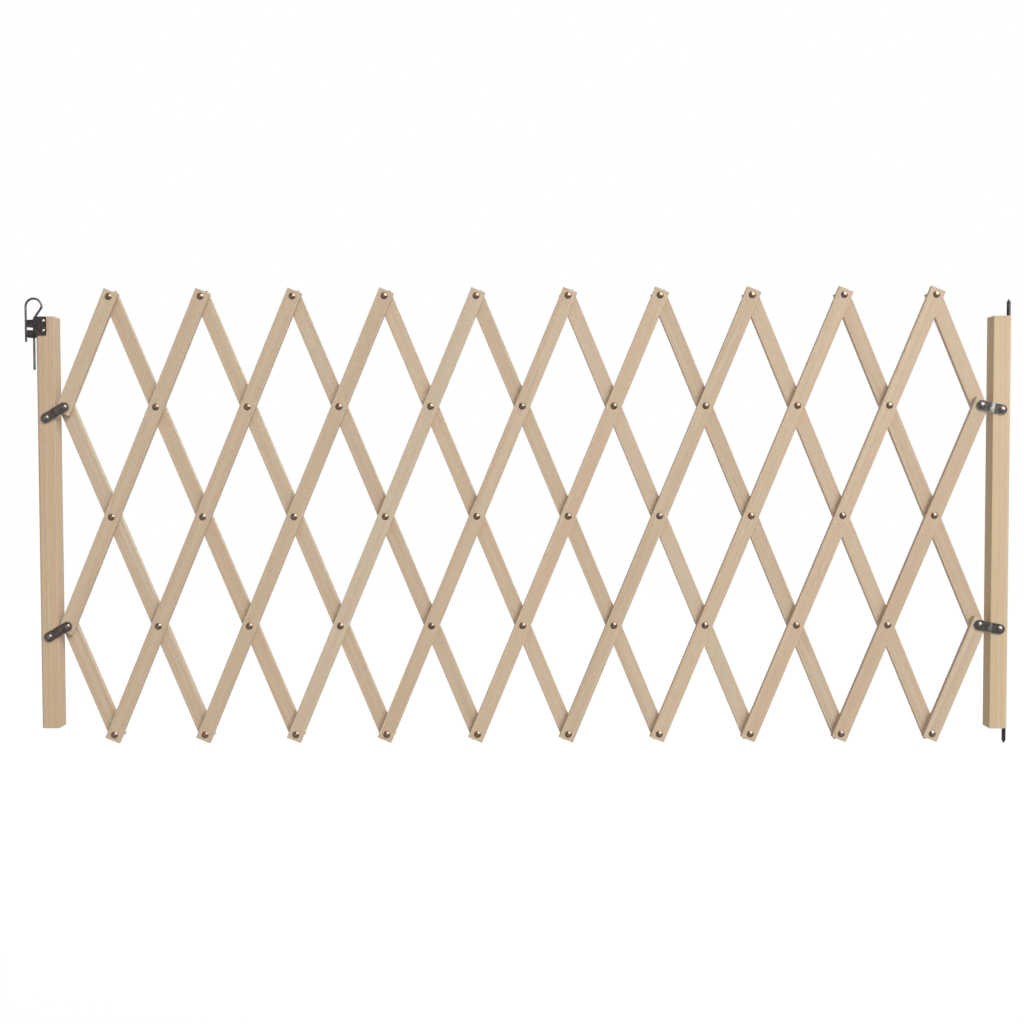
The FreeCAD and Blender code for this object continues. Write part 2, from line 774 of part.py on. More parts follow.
for number, (column, row, steps) in enumerate(front_slats(), start=1):
    make_slat(f"front_slat_{number:02d}", column, row, steps, front=True)
    plain = [step for step in range(steps + 1) if not has_strap(column + step, row + step)]
    start = plain[0]
    make_rivets(
        f"slat_rivets_{number:02d}", "0", lattice_place(column + start, row + start), len(plain)
    )
for number, (column, row, steps) in enumerate(back_slats(), start=1):
    make_slat(f"back_slat_{number:02d}", column, row, steps, front=False)

hinge_post = make_post("hinge_post", 1, "Sizes.hinge_post_hole_height")
drill_pin_holes(hinge_post)
place(hinge_post, HINGE_POST_X, POST_FRONT_Y, "0")
latch_post = make_post("latch_post", -1, "Sizes.latch_post_hole_height")
drill_screw_holes(latch_post)
place(latch_post, LATCH_POST_X, POST_FRONT_Y, LATCH_POST_Z)

# The straps and their rivets. The upper straps carry the post at either end of the lattice. The
# lower straps close a second loop, whose turn is not even with the fold, so their rivets are
# parted at the post's face.
for end, column, turn, post_x, hole_z in (
    ("latch", 0, "180 - Sizes.latch_strap_tilt", LATCH_POST_X, LATCH_HOLE_Z),
    ("hinge", COLUMNS, "Sizes.hinge_strap_tilt", HINGE_POST_X, "Sizes.hinge_post_hole_height"),
):
    upper_hole = (post_x, POST_FRONT_Y, f"{hole_z} + {POST_HOLE_SPACING}")
    lower_hole = (post_x, POST_FRONT_Y, hole_z)
    reach = "Sizes.post_rivet_reach"
    for level, row in (("upper", UPPER_ROW), ("lower", LOWER_ROW)):
        make_strap(f"{end}_{level}_strap", column, row, turn)
        make_rivets(f"{end}_{level}_strap_rivet", OVER_STRAP, lattice_place(column, row))
    make_studs(f"{end}_upper_post_rivet", RIVET_HEAD, RIVET_SHANK, OVER_STRAP, reach, upper_hole)
    make_studs(
        f"{end}_lower_post_rivet", RIVET_HEAD, RIVET_SHANK, f"-{STRAP_FRONT}", "-Sizes.strap_gap", lower_hole
    )
    make_studs(f"{end}_lower_post_peg", None, RIVET_SHANK, "0", reach, lower_hole)

make_pivot_pin("lower_pivot_pin", "Sizes.lower_pin_reach", "0", "0")
make_pivot_pin("upper_pivot_pin", "Sizes.upper_pin_reach", "Sizes.post_length", "180")
make_latch_bracket()
make_latch_pin()
latch_screws = make_studs(
    "latch_screws",
    SCREW_HEAD,
    "Sizes.screw_shank_diameter",
    "-Sizes.leaf_thickness",
    "Sizes.screw_reach",
    (
        f"{LATCH_POST_SIDE_X} + Sizes.screw_side_setback",
        POST_FRONT_Y,
        f"{LATCH_POST_Z} + Sizes.post_length - Sizes.screw_drop - Sizes.screw_spacing",
    ),
    count=2,
    spacing="Sizes.screw_spacing",
)
cut_screw_recesses(latch_screws)

doc.recompute()
for item in doc.Objects:
    if "Invalid" in item.State or "Error" in item.State:
        raise RuntimeError(f"{item.Label} failed: {item.State}")
for part in parts:
    if part.Shape.isNull() or not part.Shape.isValid():
        raise RuntimeError(f"{part.Label} has no valid shape")

os.makedirs("parts", exist_ok=True)
for part in parts:
    part.Shape.exportStep(f"parts/{part.Label}.step")
    solids = len(part.Shape.Solids)
    print(f"{part.Label}: {solids} solid(s), {part.Shape.Volume:.1f} mm3")
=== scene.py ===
"""Looks of an expandable safety gate: a riveted lattice of slats between two posts.

Metres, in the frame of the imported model: +Z is up, +X runs from the latch post to the hinge post,
and the front faces -Y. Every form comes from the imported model. The classes below give each piece
its finish and set up the studio round the gate.
"""
import logging
import math
import random
from dataclasses import dataclass, replace
from enum import Enum
from typing import Iterable, Sequence

import bmesh
import bpy
from mathutils import Matrix, Vector


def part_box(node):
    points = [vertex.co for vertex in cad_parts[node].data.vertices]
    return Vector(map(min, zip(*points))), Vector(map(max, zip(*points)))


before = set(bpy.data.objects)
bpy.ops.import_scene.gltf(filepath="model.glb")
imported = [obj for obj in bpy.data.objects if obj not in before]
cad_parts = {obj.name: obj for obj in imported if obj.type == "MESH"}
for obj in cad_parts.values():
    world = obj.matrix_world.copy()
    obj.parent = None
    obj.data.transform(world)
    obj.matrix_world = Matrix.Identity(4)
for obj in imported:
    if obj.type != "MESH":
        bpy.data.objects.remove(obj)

log = logging.getLogger("gate")

PHOTO_SIDE = 1024
SENSOR_WIDTH = 36.0
FRONT = Vector((0.0, -1.0, 0.0))
UP = Vector((0.0, 0.0, 1.0))
MIDDLE = Vector((-0.755, 0.0, 0.32))
WHITE = (1.0, 1.0, 1.0, 1.0)

BYTE_TOP = 255.0
SCREEN_KNEE = 0.04045
SCREEN_SLOPE = 12.92
SCREEN_OFFSET = 0.055
SCREEN_POWER = 2.4

Socket = bpy.types.NodeSocket
Node = bpy.types.Node
Material = bpy.types.Material
Tree = bpy.types.NodeTree
Source = Socket | float | Sequence[float]
Triple = tuple[float, float, float]
Colour = tuple[float, float, float, float]


def linear(shade: str) -> Colour:
    """Turn a written colour into the values that a shader takes.

    Args:
        shade: Six hexadecimal digits, as a screen shows the colour.

    Returns:
        Red, green, blue and a full alpha, in linear light.
    """
    values = []
    for channel in bytes.fromhex(shade):
        part = channel / BYTE_TOP
        if part <= SCREEN_KNEE:
            values.append(part / SCREEN_SLOPE)
        else:
            values.append(((part + SCREEN_OFFSET) / (1.0 + SCREEN_OFFSET)) ** SCREEN_POWER)
    red, green, blue = values
    return (red, green, blue, 1.0)


class Lean(Enum):
    """Which way a length of timber leans, as a factor on the lattice's angle."""

    RIGHT = 1.0
    LEFT = -1.0
    UPRIGHT = 0.0


@dataclass(frozen=True)
class NoiseBand:
    """A noise stretched along each axis, and the part of its range that shows."""

    stretch: Triple
    detail: float
    low: float
    high: float


class NodeSheet:
    """Puts nodes on one shader tree and links them."""

    COLUMN = 190.0
    NOISE_ROUGHNESS = 0.55

    def __init__(self, tree: Tree) -> None:
        """Start on an empty tree.

        Args:
            tree: The shader tree of a material, a world or a node group.
        """
        self.tree = tree
        tree.nodes.clear()

    def put(self, kind: str, **settings: object) -> Node:
        """Add a node of a kind and set its properties.

        Args:
            kind: The node's type name.
            settings: Properties of the node.

        Returns:
            The new node.
        """
        node = self.tree.nodes.new(kind)
        node.location = (self.COLUMN * len(self.tree.nodes), 0.0)
        for name, setting in settings.items():
            setattr(node, name, setting)
        return node

    def feed(self, target: Socket, source: Source) -> None:
        """Link a socket into another, or write a plain value on it.

        Args:
            target: The input socket.
            source: An output socket, or a value.
        """
        if isinstance(source, Socket):
            self.tree.links.new(source, target)
        else:
            target.default_value = source

    def math(self, operation: str, *values: Source) -> Socket:
        """Work out a number from one or two others.

        Args:
            operation: The name of the sum.
            values: Sockets or numbers.

        Returns:
            The result's socket.
        """
        node = self.put("ShaderNodeMath", operation=operation)
        for target, source in zip(node.inputs, values):
            self.feed(target, source)
        return node.outputs[0]

    def vector(self, operation: str, *values: Source) -> Node:
        """Work out a vector or a number from one or two vectors.

        Args:
            operation: The name of the sum.
            values: Sockets or triples of numbers.

        Returns:
            The node, whose outputs are the vector and the number.
        """
        node = self.put("ShaderNodeVectorMath", operation=operation)
        for target, source in zip(node.inputs, values):
            self.feed(target, source)
        return node

    def moved(self, source: Source, step: Source) -> Socket:
        """Add two vectors."""
        return self.vector("ADD", source, step).outputs["Vector"]

    def scaled(self, source: Socket, factors: Sequence[float]) -> Socket:
        """Stretch a vector by a factor along each axis."""
        return self.vector("MULTIPLY", source, tuple(factors)).outputs["Vector"]

    def times(self, source: Source, factor: Source) -> Socket:
        """Scale a vector by one number.

        Args:
            source: The vector's socket, or a triple of numbers.
            factor: The number's socket, or a number.

        Returns:
            The scaled vector's socket.
        """
        node = self.vector("SCALE", source)
        self.feed(node.inputs["Scale"], factor)
        return node.outputs["Vector"]

    def parts(self, source: Socket) -> list[Socket]:
        """Part a vector into its three numbers.

        Args:
            source: The vector's socket.

        Returns:
            The sockets of the numbers along the three axes.
        """
        split = self.put("ShaderNodeSeparateXYZ")
        self.feed(split.inputs[0], source)
        return list(split.outputs)

    def hypot(self, first: Socket, second: Socket) -> Socket:
        """Work out how long a line is from its two parts.

        Args:
            first: The part along one axis.
            second: The part along the other.

        Returns:
            The length's socket.
        """
        first_square = self.math("MULTIPLY", first, first)
        second_square = self.math("MULTIPLY", second, second)
        return self.math("SQRT", self.math("ADD", first_square, second_square))

    def weighed(self, *shares: tuple[Socket, float]) -> Socket:
        """Add numbers up, each with its own weight.

        Args:
            shares: Each number's socket and its weight.

        Returns:
            The sum's socket.
        """
        total, *others = [self.math("MULTIPLY", source, weight) for source, weight in shares]
        for term in others:
            total = self.math("ADD", total, term)
        return total

    def noise(self, source: Socket, detail: float) -> Node:
        """Add an even noise whose grain is one unit of its vector.

        Args:
            source: The vector's socket, already stretched.
            detail: How many finer layers it has.

        Returns:
            The noise node.
        """
        node = self.put("ShaderNodeTexNoise", noise_dimensions="3D")
        self.feed(node.inputs["Vector"], source)
        node.inputs["Scale"].default_value = 1.0
        node.inputs["Detail"].default_value = detail
        node.inputs["Roughness"].default_value = self.NOISE_ROUGHNESS
        return node

    def spread(
        self, source: Source, low: Source, high: Source, start: float = 0.0, end: float = 1.0
    ) -> Socket:
        """Stretch a range of a number smoothly to another range, and hold it there.

        Args:
            source: The number.
            low: Where the range starts.
            high: Where the range ends.
            start: The result at the range's start.
            end: The result at the range's end.

        Returns:
            The result's socket.
        """
        node = self.put("ShaderNodeMapRange", interpolation_type="SMOOTHSTEP")
        for target, value in zip(node.inputs, (source, low, high, start, end)):
            self.feed(target, value)
        return node.outputs["Result"]

    def band(self, source: Socket, band: NoiseBand) -> Socket:
        """Add a stretched noise and spread the part of it that shows.

        Args:
            source: The vector's socket.
            band: The noise's stretch, detail and range.

        Returns:
            A number between nothing and one.
        """
        node = self.noise(self.scaled(source, band.stretch), band.detail)
        return self.spread(node.outputs[0], band.low, band.high)

    def mix(self, factor: Source, first: Source, second: Source) -> Socket:
        """Mix two colours.

        Args:
            factor: How much of the second shows.
            first: The colour below.
            second: The colour above.

        Returns:
            The mixed colour's socket.
        """
        node = self.put("ShaderNodeMix", data_type="RGBA")
        colours = [socket for socket in node.inputs if socket.type == "RGBA"]
        self.feed(node.inputs["Factor"], factor)
        self.feed(colours[0], first)
        self.feed(colours[1], second)
        return next(socket for socket in node.outputs if socket.type == "RGBA")


class PieceSheet(NodeSheet):
    """The sheet of one piece's material, with the piece's own coordinates."""

    def __init__(self, name: str, centre: Vector, turn: float) -> None:
        """Start a material whose coordinates lie along the piece.

        Args:
            name: The material's name.
            centre: The middle of the piece.
            turn: The piece's turn about the depth axis.
        """
        self.material = bpy.data.materials.new(name)
        self.material.use_nodes = True
        super().__init__(self.material.node_tree)
        where = self.put("ShaderNodeTexCoord")
        own = self.put("ShaderNodeMapping", vector_type="TEXTURE")
        self.feed(own.inputs["Vector"], where.outputs["Object"])
        own.inputs["Location"].default_value = centre
        own.inputs["Rotation"].default_value = (0.0, turn, 0.0)
        self.normal = where.outputs["Normal"]
        self.local = own.outputs["Vector"]

    def shaded(
        self, colour: Socket, roughness: Socket, height: Socket, relief: float, **constants: float
    ) -> Material:
        """Close the material with its shader.

        Args:
            colour: The base colour.
            roughness: How dull the surface is.
            height: The height of its fine relief.
            relief: How far one unit of that height stands out.
            constants: Plain values, by socket name with underscores for spaces.

        Returns:
            The material.
        """
        shader = self.put("ShaderNodeBsdfPrincipled")
        for label, constant in constants.items():
            shader.inputs[label.replace("_", " ")].default_value = constant
        self.feed(shader.inputs["Base Color"], colour)
        self.feed(shader.inputs["Roughness"], roughness)
        bump = self.put("ShaderNodeBump")
        bump.inputs["Distance"].default_value = relief
        self.feed(bump.inputs["Height"], height)
        self.feed(shader.inputs["Normal"], bump.outputs["Normal"])
        out = self.put("ShaderNodeOutputMaterial")
        self.feed(out.inputs["Surface"], shader.outputs["BSDF"])
        return self.material


class EffectGroup:
    """A shader effect that several finishes share, built once."""

    name = "effect"
    inputs: tuple[tuple[str, str], ...] = ()
    outputs: tuple[tuple[str, str], ...] = ()
    KINDS = {"vector": "NodeSocketVector", "value": "NodeSocketFloat", "colour": "NodeSocketColor"}

    def tree(self) -> Tree:
        """Give the group's tree, building it the first time it is asked for.

        Returns:
            The shader node group.
        """
        found = bpy.data.node_groups.get(self.name)
        if found is not None:
            return found
        made = bpy.data.node_groups.new(self.name, "ShaderNodeTree")
        for side, sockets in (("INPUT", self.inputs), ("OUTPUT", self.outputs)):
            for label, kind in sockets:
                made.interface.new_socket(name=label, in_out=side, socket_type=self.KINDS[kind])
        sheet = NodeSheet(made)
        taken = sheet.put("NodeGroupInput")
        given = sheet.put("NodeGroupOutput")
        results = self.work(sheet, {label: taken.outputs[label] for label, _ in self.inputs})
        for label, _ in self.outputs:
            sheet.feed(given.inputs[label], results[label])
        return made

    def work(self, sheet: NodeSheet, taken: dict[str, Socket]) -> dict[str, Socket]:
        """Build the effect on the group's sheet.

        Args:
            sheet: The group's own sheet.
            taken: The group's input sockets by name.

        Returns:
            The group's results by name.
        """
        raise NotImplementedError

    def place(self, sheet: NodeSheet, **values: Source) -> Node:
        """Put the group on a material's sheet with its own values.

        Args:
            sheet: The material's sheet.
            values: Sockets or values, by input name with underscores for spaces.

        Returns:
            The group's node.
        """
        node = sheet.put("ShaderNodeGroup", node_tree=self.tree(), label=self.name)
        for label, source in values.items():
            sheet.feed(node.inputs[label.replace("_", " ")], source)
        return node


class SawnGrain(EffectGroup):
    """Growth rings about a pith beside the piece, with streaks, fibres and short flecks."""

    name = "sawn_grain"
    inputs = (
        ("Vector", "vector"),
        ("Seed", "value"),
        ("Pith", "vector"),
        ("Ring Spacing", "value"),
        ("Ring Contrast", "value"),
        ("Streak Contrast", "value"),
        ("Fibre Contrast", "value"),
        ("Pale", "colour"),
        ("Tan", "colour"),
        ("Blush", "colour"),
    )
    outputs = (("Color", "colour"), ("Gloss Shift", "value"), ("Height", "value"))

    SEED_STEP = (0.37, 0.73, 5.1)
    STREAK = NoiseBand((150.0, 150.0, 1.4), detail=2.0, low=0.3, high=0.7)
    FIBRE = NoiseBand((950.0, 950.0, 16.0), detail=3.0, low=0.28, high=0.72)
    FLECK = NoiseBand((1300.0, 1300.0, 70.0), detail=1.0, low=0.6, high=0.72)
    MOTTLE = NoiseBand((16.0, 16.0, 4.0), detail=2.0, low=0.3, high=0.7)
    FLECK_SHADE = "8A6746"
    MOTTLE_SHARE = 0.10
    FIBRE_GLOSS = 0.10
    RING_GLOSS = -0.06
    FIBRE_HEIGHT = 0.55
    RING_HEIGHT = 0.3
    FLECK_HEIGHT = -0.5

    WANDER = (7.0, 7.0, 1.7)
    WANDER_DETAIL = 2.0
    WANDER_REACH = (0.009, 0.009, 0.0)
    NOISE_MIDDLE = (0.5, 0.5, 0.5)
    ACROSS = (1.0, 1.0, 0.0)
    RING_POWER = 2.4
    RING_TURN = 0.9

    def work(self, sheet: NodeSheet, taken: dict[str, Socket]) -> dict[str, Socket]:
        """Build the grain along the vector's third axis.

        Args:
            sheet: The group's own sheet.
            taken: The group's input sockets by name.

        Returns:
            The grain's colour, its shift of roughness and its height.
        """
        cut = sheet.moved(taken["Vector"], sheet.times(self.SEED_STEP, taken["Seed"]))
        rings = self.rings(sheet, taken, cut)
        streak = sheet.band(cut, self.STREAK)
        fibre = sheet.band(cut, self.FIBRE)
        fleck = sheet.band(cut, self.FLECK)
        mottle = sheet.band(cut, self.MOTTLE)
        late = sheet.math("MULTIPLY", rings, taken["Ring Contrast"])
        colour = sheet.mix(late, taken["Pale"], taken["Tan"])
        blush = sheet.math("MULTIPLY", streak, taken["Streak Contrast"])
        colour = sheet.mix(blush, colour, taken["Blush"])
        between = sheet.math("SUBTRACT", 1.0, fibre)
        lines = sheet.math("MULTIPLY", between, taken["Fibre Contrast"])
        colour = sheet.mix(lines, colour, taken["Tan"])
        dashes = sheet.math("MULTIPLY", fleck, taken["Fibre Contrast"])
        colour = sheet.mix(dashes, colour, linear(self.FLECK_SHADE))
        clouds = sheet.math("MULTIPLY", mottle, self.MOTTLE_SHARE)
        colour = sheet.mix(clouds, colour, taken["Tan"])
        shift = sheet.weighed((fibre, self.FIBRE_GLOSS), (rings, self.RING_GLOSS))
        height = sheet.weighed(
            (fibre, self.FIBRE_HEIGHT), (rings, self.RING_HEIGHT), (fleck, self.FLECK_HEIGHT)
        )
        return {"Color": colour, "Gloss Shift": shift, "Height": height}

    def rings(self, sheet: NodeSheet, taken: dict[str, Socket], cut: Socket) -> Socket:
        """Shade each ring slowly darker outwards, and quickly pale again.

        Args:
            sheet: The group's own sheet.
            taken: The group's input sockets by name.
            cut: The vector, moved on by the piece's own seed.

        Returns:
            How dark the ring is at each point.
        """
        stray = sheet.noise(sheet.scaled(cut, self.WANDER), self.WANDER_DETAIL).outputs["Color"]
        # With the noise's middle taken away, the rings stray both ways.
        stray = sheet.vector("SUBTRACT", stray, self.NOISE_MIDDLE).outputs["Vector"]
        stray = sheet.scaled(stray, self.WANDER_REACH)
        about = sheet.moved(sheet.moved(taken["Vector"], taken["Pith"]), stray)
        radius = sheet.vector("LENGTH", sheet.scaled(about, self.ACROSS)).outputs["Value"]
        share = sheet.math("FRACT", sheet.math("DIVIDE", radius, taken["Ring Spacing"]))
        late = sheet.math("POWER", share, self.RING_POWER)
        return sheet.math("MULTIPLY", late, sheet.spread(share, 1.0, self.RING_TURN))


class ArrisRub(EffectGroup):
    """Where the edges of a squared length are rubbed paler in patches, from its own half sizes."""

    name = "arris_rub"
    inputs = (("Vector", "vector"), ("Half Size", "vector"), ("Reach", "value"), ("Seed", "value"))
    outputs = (("Mask", "value"),)

    PATCHES = (70.0, 70.0, 22.0)
    PATCH_DETAIL = 3.0
    SEED_STEP = (9.0, 4.0, 7.0)
    WORN_LOW = 0.35
    WORN_HIGH = 0.65
    WORN_LEAST = 0.25

    def work(self, sheet: NodeSheet, taken: dict[str, Socket]) -> dict[str, Socket]:
        """Measure how near a point is to two faces at once.

        Args:
            sheet: The group's own sheet.
            taken: The group's input sockets by name.

        Returns:
            The rubbed patches along the edges.
        """
        far = sheet.vector("ABSOLUTE", taken["Vector"]).outputs["Vector"]
        x, y, z = sheet.parts(sheet.vector("SUBTRACT", taken["Half Size"], far).outputs["Vector"])
        # The middle one of the three insets is small only near an edge.
        least = sheet.math("MINIMUM", sheet.math("MINIMUM", x, y), z)
        most = sheet.math("MAXIMUM", sheet.math("MAXIMUM", x, y), z)
        total = sheet.math("ADD", sheet.math("ADD", x, y), z)
        near = sheet.math("SUBTRACT", sheet.math("SUBTRACT", total, least), most)
        edge = sheet.spread(near, taken["Reach"], 0.0)
        step = sheet.times(self.SEED_STEP, taken["Seed"])
        patch = sheet.moved(sheet.scaled(taken["Vector"], self.PATCHES), step)
        cloud = sheet.noise(patch, self.PATCH_DETAIL).outputs[0]
        worn = sheet.spread(cloud, self.WORN_LOW, self.WORN_HIGH, start=self.WORN_LEAST)
        return {"Mask": sheet.math("MULTIPLY", edge, worn)}


class EndFace(EffectGroup):
    """Where a surface looks along an axis, as the sawn end of a length of timber does."""

    name = "end_face"
    inputs = (("Normal", "vector"), ("Axis", "vector"))
    outputs = (("Mask", "value"),)

    SLANTED = 0.6
    SQUARE = 0.95

    def work(self, sheet: NodeSheet, taken: dict[str, Socket]) -> dict[str, Socket]:
        """Compare the surface's direction with the axis, either way round."""
        along = sheet.vector("DOT_PRODUCT", taken["Normal"], taken["Axis"]).outputs["Value"]
        return {"Mask": sheet.spread(sheet.math("ABSOLUTE", along), self.SLANTED, self.SQUARE)}


class RivetRing(EffectGroup):
    """A darker ring on the wood just outside each riveted head, at every pivot along a slat."""

    name = "rivet_ring"
    inputs = (
        ("Vector", "vector"),
        ("Pitch", "value"),
        ("Phase", "value"),
        ("Radius", "value"),
        ("Reach", "value"),
    )
    outputs = (("Mask", "value"),)

    def work(self, sheet: NodeSheet, taken: dict[str, Socket]) -> dict[str, Socket]:
        """Measure the distance to the nearest pivot in the slat's face.

        Args:
            sheet: The group's own sheet.
            taken: The group's input sockets by name.

        Returns:
            The rings.
        """
        x, _, z = sheet.parts(taken["Vector"])
        start = sheet.math("SUBTRACT", z, taken["Phase"])
        whole = sheet.math("ROUND", sheet.math("DIVIDE", start, taken["Pitch"]))
        along = sheet.math("SUBTRACT", start, sheet.math("MULTIPLY", whole, taken["Pitch"]))
        outer = sheet.math("ADD", taken["Radius"], taken["Reach"])
        return {"Mask": sheet.spread(sheet.hypot(x, along), outer, taken["Radius"])}


class BronzedSkin(EffectGroup):
    """A dark steel skin: clouds of tone, fine specks, and a brighter tone for wear and painted
    highlights where a mask says.
    """

    name = "bronzed_skin"
    inputs = (
        ("Vector", "vector"),
        ("Dark", "colour"),
        ("Warm", "colour"),
        ("Bare", "colour"),
        ("Rub", "value"),
        ("Smooth", "value"),
        ("Dull", "value"),
    )
    outputs = (("Color", "colour"), ("Roughness", "value"), ("Height", "value"))

    CLOUD = NoiseBand((210.0, 210.0, 210.0), detail=4.0, low=0.3, high=0.7)
    SPECK = NoiseBand((1500.0, 1500.0, 1500.0), detail=2.0, low=0.35, high=0.68)
    SCUFF = NoiseBand((420.0, 420.0, 95.0), detail=3.0, low=0.38, high=0.62)
    SCUFF_LEAST = 0.35
    CLOUD_DULLNESS = 0.6
    SPECK_DULLNESS = 0.4
    SPECK_HEIGHT = 0.6
    SCUFF_HEIGHT = 0.4

    def work(self, sheet: NodeSheet, taken: dict[str, Socket]) -> dict[str, Socket]:
        """Build the skin on all sides alike.

        Args:
            sheet: The group's own sheet.
            taken: The group's input sockets by name.

        Returns:
            The skin's colour, roughness and height.
        """
        cloud = sheet.band(taken["Vector"], self.CLOUD)
        speck = sheet.band(taken["Vector"], self.SPECK)
        scuff = sheet.band(taken["Vector"], self.SCUFF)
        # The scuff noise breaks up the brighter tone, both where it is rubbed wear and where it is
        # painted highlight.
        worn = sheet.spread(scuff, 0.0, 1.0, start=self.SCUFF_LEAST)
        bare_and_highlight = sheet.math("MULTIPLY", taken["Rub"], worn)
        colour = sheet.mix(bare_and_highlight, sheet.mix(cloud, taken["Dark"], taken["Warm"]), taken["Bare"])
        share = sheet.weighed((cloud, self.CLOUD_DULLNESS), (speck, self.SPECK_DULLNESS))
        span = sheet.math("SUBTRACT", taken["Dull"], taken["Smooth"])
        rough = sheet.math("ADD", taken["Smooth"], sheet.math("MULTIPLY", share, span))
        height = sheet.weighed((speck, self.SPECK_HEIGHT), (scuff, self.SCUFF_HEIGHT))
        return {"Color": colour, "Roughness": rough, "Height": height}


class StripEdge(EffectGroup):
    """Where the rim of a round-ended strip is rubbed, from its own link and width."""

    name = "strip_edge"
    inputs = (
        ("Vector", "vector"),
        ("Half Link", "value"),
        ("Half Width", "value"),
        ("Reach", "value"),
    )
    outputs = (("Mask", "value"),)

    def work(self, sheet: NodeSheet, taken: dict[str, Socket]) -> dict[str, Socket]:
        """Measure the distance to the strip's middle line in its face.

        Args:
            sheet: The group's own sheet.
            taken: The group's input sockets by name.

        Returns:
            The rim.
        """
        x, _, z = sheet.parts(taken["Vector"])
        past = sheet.math("SUBTRACT", sheet.math("ABSOLUTE", x), taken["Half Link"])
        past = sheet.math("MAXIMUM", past, 0.0)
        start = sheet.math("SUBTRACT", taken["Half Width"], taken["Reach"])
        return {"Mask": sheet.spread(sheet.hypot(past, z), start, taken["Half Width"])}


GRAIN = SawnGrain()
ARRIS = ArrisRub()
END_FACE = EndFace()
RIVET_RING = RivetRing()
BRONZED = BronzedSkin()
STRIP_EDGE = StripEdge()


@dataclass(frozen=True)
class TimberLay:
    """How one length of timber was cut and where it lies."""

    centre: Vector
    turn: float
    half: Vector
    seed: int
    pith: Vector
    pivot_phase: float | None = None

    def axis(self) -> Vector:
        """Give the direction that the length runs in."""
        return Matrix.Rotation(self.turn, 3, "Y") @ UP


@dataclass(frozen=True)
class WoodFinish:
    """A planed pale timber under a thin matt lacquer, with slightly rubbed edges."""

    pale: str
    tan: str
    blush: str
    end: str
    rubbed: str
    ring_spacing: float
    ring_contrast: float = 0.5
    streak_contrast: float = 0.55
    fibre_contrast: float = 0.2
    roughness: float = 0.62
    shine: float = 0.22
    relief: float = 0.00012
    rub_reach: float = 0.0026
    rub_strength: float = 0.15
    end_strength: float = 0.6
    end_dullness: float = 0.15
    pitch: float = 0.185
    rivet_ring_radius: float = 0.0053
    rivet_ring_reach: float = 0.0012
    rivet_ring_strength: float = 0.4
    tone_stray: float = 0.05

    def toned(self, shade: str, draw: random.Random) -> Colour:
        """Stray a little from a shade, as one board does from the next.

        Args:
            shade: The written colour.
            draw: The board's own source of chance.

        Returns:
            The strayed colour in linear light.
        """
        red, green, blue, alpha = linear(shade)
        level = 1.0 + draw.uniform(-self.tone_stray, self.tone_stray)
        warmth = draw.uniform(-self.tone_stray, self.tone_stray) / 2.0
        return (red * (level + warmth), green * level, blue * (level - warmth), alpha)

    def grain(self, sheet: PieceSheet, lay: TimberLay) -> Node:
        """Put the grain of one length on its sheet.

        Args:
            sheet: The material's sheet.
            lay: How the length was cut and where it lies.

        Returns:
            The grain's node.
        """
        draw = random.Random(lay.seed)
        return GRAIN.place(
            sheet,
            Vector=sheet.local,
            Seed=float(lay.seed),
            Pith=lay.pith,
            Ring_Spacing=self.ring_spacing,
            Ring_Contrast=self.ring_contrast,
            Streak_Contrast=self.streak_contrast,
            Fibre_Contrast=self.fibre_contrast,
            Pale=self.toned(self.pale, draw),
            Tan=self.toned(self.tan, draw),
            Blush=self.toned(self.blush, draw),
        )

    def darkened_round_rivets(self, sheet: PieceSheet, colour: Socket, phase: float) -> Socket:
        """Darken the wood in a ring just outside every rivet head.

        Args:
            sheet: The material's sheet.
            colour: The wood's colour so far.
            phase: Where the first pivot lies from the slat's middle.

        Returns:
            The colour with the rings.
        """
        rings = RIVET_RING.place(
            sheet,
            Vector=sheet.local,
            Pitch=self.pitch,
            Phase=phase,
            Radius=self.rivet_ring_radius,
            Reach=self.rivet_ring_reach,
        )
        dull = sheet.math("MULTIPLY", rings.outputs["Mask"], self.rivet_ring_strength)
        return sheet.mix(dull, colour, linear(self.end))

    def material(self, name: str, lay: TimberLay) -> Material:
        """Make the finish of one length of timber.

        Args:
            name: The material's name.
            lay: How the length was cut and where it lies.

        Returns:
            The material.
        """
        sheet = PieceSheet(name, lay.centre, lay.turn)
        grain = self.grain(sheet, lay)
        end = END_FACE.place(sheet, Normal=sheet.normal, Axis=lay.axis()).outputs["Mask"]
        rub = ARRIS.place(
            sheet, Vector=sheet.local, Half_Size=lay.half, Reach=self.rub_reach, Seed=float(lay.seed)
        )
        sawn = sheet.math("MULTIPLY", end, self.end_strength)
        colour = sheet.mix(sawn, grain.outputs["Color"], linear(self.end))
        worn = sheet.math("MULTIPLY", rub.outputs["Mask"], self.rub_strength)
        colour = sheet.mix(worn, colour, linear(self.rubbed))
        if lay.pivot_phase is not None:
            colour = self.darkened_round_rivets(sheet, colour, lay.pivot_phase)
        rough = sheet.math("ADD", grain.outputs["Gloss Shift"], self.roughness)
        rough = sheet.math("ADD", rough, sheet.math("MULTIPLY", end, self.end_dullness))
        height = grain.outputs["Height"]
        return sheet.shaded(colour, rough, height, self.relief, Specular_IOR_Level=self.shine)


class RubKind(Enum):
    """Where a steel piece shows a brighter tone: wear on rims, wear and painted highlight on crowns,
    painted highlight on bends.
    """

    CROWN_WEAR_AND_HIGHLIGHT = "crown"
    STRIP = "strip"
    BEND_HIGHLIGHT = "bend"
    NONE = "none"


